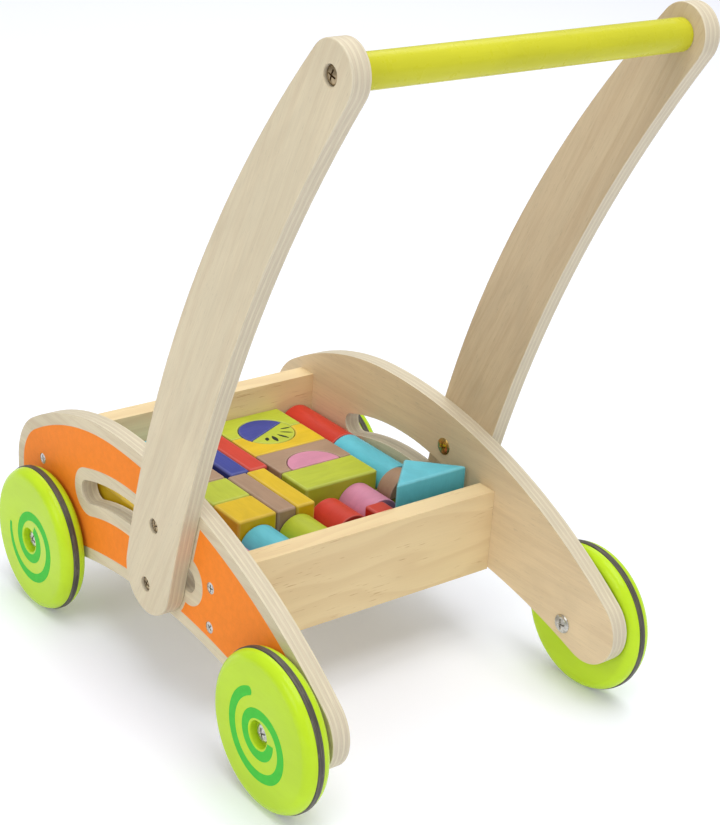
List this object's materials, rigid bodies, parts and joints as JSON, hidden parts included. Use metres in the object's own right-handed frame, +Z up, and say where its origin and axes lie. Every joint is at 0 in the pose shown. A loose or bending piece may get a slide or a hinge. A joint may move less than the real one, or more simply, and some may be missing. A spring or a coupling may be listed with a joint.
{
  "type": "baby walker",
  "caption": "Wooden push-along walker: arched plywood sides with a slot, curved arms with a round grip, four banded wheels and a tray packed with coloured blocks.",
  "frame": {"origin": "on the floor, under the middle of the overall box of the walker", "axes": "+Z up, -Y the way it rolls, +Y towards the child at the handle, +X towards the child's left when facing -Y"},
  "size_m": [0.2682, 0.377, 0.452],
  "materials": {
    "birch_plywood": "satin lacquer over birch plywood; the left panel is printed orange on its outer face",
    "pine": "clear satin lacquer",
    "olive_lacquer": "gloss lacquer",
    "wheel_lime": "gloss lacquer with a printed spiral on the outer face",
    "band_rubber": "matte",
    "zinc_steel": "bright zinc",
    "brass_nut": "polished",
    "washer_plastic": "natural",
    "block_lime": "satin stain, wood grain shows through",
    "block_yellow": "satin stain, wood grain shows through",
    "block_red": "satin stain, wood grain shows through",
    "block_blue": "satin stain, wood grain shows through",
    "block_cyan": "satin stain, wood grain shows through",
    "block_pink": "satin stain, wood grain shows through",
    "block_taupe": "bare hardwood, satin"
  },
  "bodies": {
    "frame": {"arm_bolts": "zinc_steel", "arm_nuts": "brass_nut", "axle_screws": "zinc_steel", "axle_sleeve_nuts": "zinc_steel", "board_screws": "zinc_steel", "front_board": "pine", "handle_arm_left": "birch_plywood", "handle_arm_right": "birch_plywood", "handle_bar": "olive_lacquer", "handle_screws": "zinc_steel", "lower_blocks_cyan": "block_cyan", "lower_blocks_lime": "block_lime", "lower_blocks_red": "block_red", "lower_blocks_yellow": "block_yellow", "rear_board": "pine", "side_panel_left": "birch_plywood", "side_panel_right": "birch_plywood", "spacer_washers": "washer_plastic", "tray_floor": "birch_plywood"},
    "wheel_front_left": {"wheel_front_left": "wheel_lime", "tyre_band_front_left": "band_rubber"},
    "wheel_front_right": {"wheel_front_right": "wheel_lime", "tyre_band_front_right": "band_rubber"},
    "wheel_rear_left": {"wheel_rear_left": "wheel_lime", "tyre_band_rear_left": "band_rubber"},
    "wheel_rear_right": {"wheel_rear_right": "wheel_lime", "tyre_band_rear_right": "band_rubber"},
    "blue_bar": {"blue_bar": "block_blue"},
    "blue_cross_bar": {"blue_cross_bar": "block_blue"},
    "blue_half_disc": {"blue_half_disc": "block_blue"},
    "blue_rear_bar": {"blue_rear_bar": "block_blue"},
    "cyan_front_brick": {"cyan_front_brick": "block_cyan"},
    "cyan_half_round": {"cyan_half_round": "block_cyan"},
    "cyan_prism": {"cyan_prism": "block_cyan"},
    "cyan_short_round": {"cyan_short_round": "block_cyan"},
    "lime_arch": {"lime_arch": "block_lime"},
    "lime_brick": {"lime_brick": "block_lime"},
    "lime_half_disc": {"lime_half_disc": "block_lime"},
    "lime_short_round": {"lime_short_round": "block_lime"},
    "lime_side_bar": {"lime_side_bar": "block_lime"},
    "lime_square": {"lime_square": "block_lime"},
    "pink_half_disc": {"pink_half_disc": "block_pink"},
    "pink_long_round": {"pink_long_round": "block_pink"},
    "pink_short_round": {"pink_short_round": "block_pink"},
    "red_bar": {"red_bar": "block_red"},
    "red_half_round": {"red_half_round": "block_red"},
    "red_long_round": {"red_long_round": "block_red"},
    "red_peg": {"red_peg": "block_red"},
    "red_short_round": {"red_short_round": "block_red"},
    "taupe_arch": {"taupe_arch": "block_taupe"},
    "taupe_bar": {"taupe_bar": "block_taupe"},
    "taupe_front_block": {"taupe_front_block": "block_taupe"},
    "taupe_half_round": {"taupe_half_round": "block_taupe"},
    "taupe_square": {"taupe_square": "block_taupe"},
    "yellow_arch": {"yellow_arch": "block_yellow"},
    "yellow_bar": {"yellow_bar": "block_yellow"},
    "yellow_rear_bar": {"yellow_rear_bar": "block_yellow"},
    "yellow_side_bar": {"yellow_side_bar": "block_yellow"},
    "yellow_square": {"yellow_square": "block_yellow"}
  },
  "joints": [
    {"name": "wheel_front_left_spin", "type": "hinge", "parent": "frame", "child": "wheel_front_left", "pos_m": [0.1251, -0.135, 0.05], "axis": [1, 0, 0], "continuous": true},
    {"name": "wheel_front_right_spin", "type": "hinge", "parent": "frame", "child": "wheel_front_right", "pos_m": [-0.1251, -0.135, 0.05], "axis": [1, 0, 0], "continuous": true},
    {"name": "wheel_rear_left_spin", "type": "hinge", "parent": "frame", "child": "wheel_rear_left", "pos_m": [0.1251, 0.14, 0.05], "axis": [1, 0, 0], "continuous": true},
    {"name": "wheel_rear_right_spin", "type": "hinge", "parent": "frame", "child": "wheel_rear_right", "pos_m": [-0.1251, 0.14, 0.05], "axis": [1, 0, 0], "continuous": true},
    {"name": "blue_bar_lift", "type": "slide", "parent": "frame", "child": "blue_bar", "axis": [0, 0, 1], "range_m": [0, 0.12]},
    {"name": "blue_cross_bar_lift", "type": "slide", "parent": "frame", "child": "blue_cross_bar", "axis": [0, 0, 1], "range_m": [0, 0.12]},
    {"name": "blue_half_disc_lift", "type": "slide", "parent": "frame", "child": "blue_half_disc", "axis": [0, 0, 1], "range_m": [0, 0.12]},
    {"name": "blue_rear_bar_lift", "type": "slide", "parent": "frame", "child": "blue_rear_bar", "axis": [0, 0, 1], "range_m": [0, 0.12]},
    {"name": "cyan_front_brick_lift", "type": "slide", "parent": "frame", "child": "cyan_front_brick", "axis": [0, 0, 1], "range_m": [0, 0.12]},
    {"name": "cyan_half_round_lift", "type": "slide", "parent": "frame", "child": "cyan_half_round", "axis": [0, 0, 1], "range_m": [0, 0.12]},
    {"name": "cyan_prism_lift", "type": "slide", "parent": "frame", "child": "cyan_prism", "axis": [0, 0, 1], "range_m": [0, 0.12]},
    {"name": "cyan_short_round_lift", "type": "slide", "parent": "frame", "child": "cyan_short_round", "axis": [0, 0, 1], "range_m": [0, 0.12]},
    {"name": "lime_arch_lift", "type": "slide", "parent": "frame", "child": "lime_arch", "axis": [0, 0, 1], "range_m": [0, 0.12]},
    {"name": "lime_brick_lift", "type": "slide", "parent": "frame", "child": "lime_brick", "axis": [0, 0, 1], "range_m": [0, 0.12]},
    {"name": "lime_half_disc_lift", "type": "slide", "parent": "frame", "child": "lime_half_disc", "axis": [0, 0, 1], "range_m": [0, 0.12]},
    {"name": "lime_short_round_lift", "type": "slide", "parent": "frame", "child": "lime_short_round", "axis": [0, 0, 1], "range_m": [0, 0.12]},
    {"name": "lime_side_bar_lift", "type": "slide", "parent": "frame", "child": "lime_side_bar", "axis": [0, 0, 1], "range_m": [0, 0.12]},
    {"name": "lime_square_lift", "type": "slide", "parent": "frame", "child": "lime_square", "axis": [0, 0, 1], "range_m": [0, 0.12]},
    {"name": "pink_half_disc_lift", "type": "slide", "parent": "frame", "child": "pink_half_disc", "axis": [0, 0, 1], "range_m": [0, 0.12]},
    {"name": "pink_long_round_lift", "type": "slide", "parent": "frame", "child": "pink_long_round", "axis": [0, 0, 1], "range_m": [0, 0.12]},
    {"name": "pink_short_round_lift", "type": "slide", "parent": "frame", "child": "pink_short_round", "axis": [0, 0, 1], "range_m": [0, 0.12]},
    {"name": "red_bar_lift", "type": "slide", "parent": "frame", "child": "red_bar", "axis": [0, 0, 1], "range_m": [0, 0.12]},
    {"name": "red_half_round_lift", "type": "slide", "parent": "frame", "child": "red_half_round", "axis": [0, 0, 1], "range_m": [0, 0.12]},
    {"name": "red_long_round_lift", "type": "slide", "parent": "frame", "child": "red_long_round", "axis": [0, 0, 1], "range_m": [0, 0.12]},
    {"name": "red_peg_lift", "type": "slide", "parent": "frame", "child": "red_peg", "axis": [0, 0, 1], "range_m": [0, 0.12]},
    {"name": "red_short_round_lift", "type": "slide", "parent": "frame", "child": "red_short_round", "axis": [0, 0, 1], "range_m": [0, 0.12]},
    {"name": "taupe_arch_lift", "type": "slide", "parent": "frame", "child": "taupe_arch", "axis": [0, 0, 1], "range_m": [0, 0.12]},
    {"name": "taupe_bar_lift", "type": "slide", "parent": "frame", "child": "taupe_bar", "axis": [0, 0, 1], "range_m": [0, 0.12]},
    {"name": "taupe_front_block_lift", "type": "slide", "parent": "frame", "child": "taupe_front_block", "axis": [0, 0, 1], "range_m": [0, 0.12]},
    {"name": "taupe_half_round_lift", "type": "slide", "parent": "frame", "child": "taupe_half_round", "axis": [0, 0, 1], "range_m": [0, 0.12]},
    {"name": "taupe_square_lift", "type": "slide", "parent": "frame", "child": "taupe_square", "axis": [0, 0, 1], "range_m": [0, 0.12]},
    {"name": "yellow_arch_lift", "type": "slide", "parent": "frame", "child": "yellow_arch", "axis": [0, 0, 1], "range_m": [0, 0.12]},
    {"name": "yellow_bar_lift", "type": "slide", "parent": "frame", "child": "yellow_bar", "axis": [0, 0, 1], "range_m": [0, 0.12]},
    {"name": "yellow_rear_bar_lift", "type": "slide", "parent": "frame", "child": "yellow_rear_bar", "axis": [0, 0, 1], "range_m": [0, 0.12]},
    {"name": "yellow_side_bar_lift", "type": "slide", "parent": "frame", "child": "yellow_side_bar", "axis": [0, 0, 1], "range_m": [0, 0.12]},
    {"name": "yellow_square_lift", "type": "slide", "parent": "frame", "child": "yellow_square", "axis": [0, 0, 1], "range_m": [0, 0.12]}
  ]
}
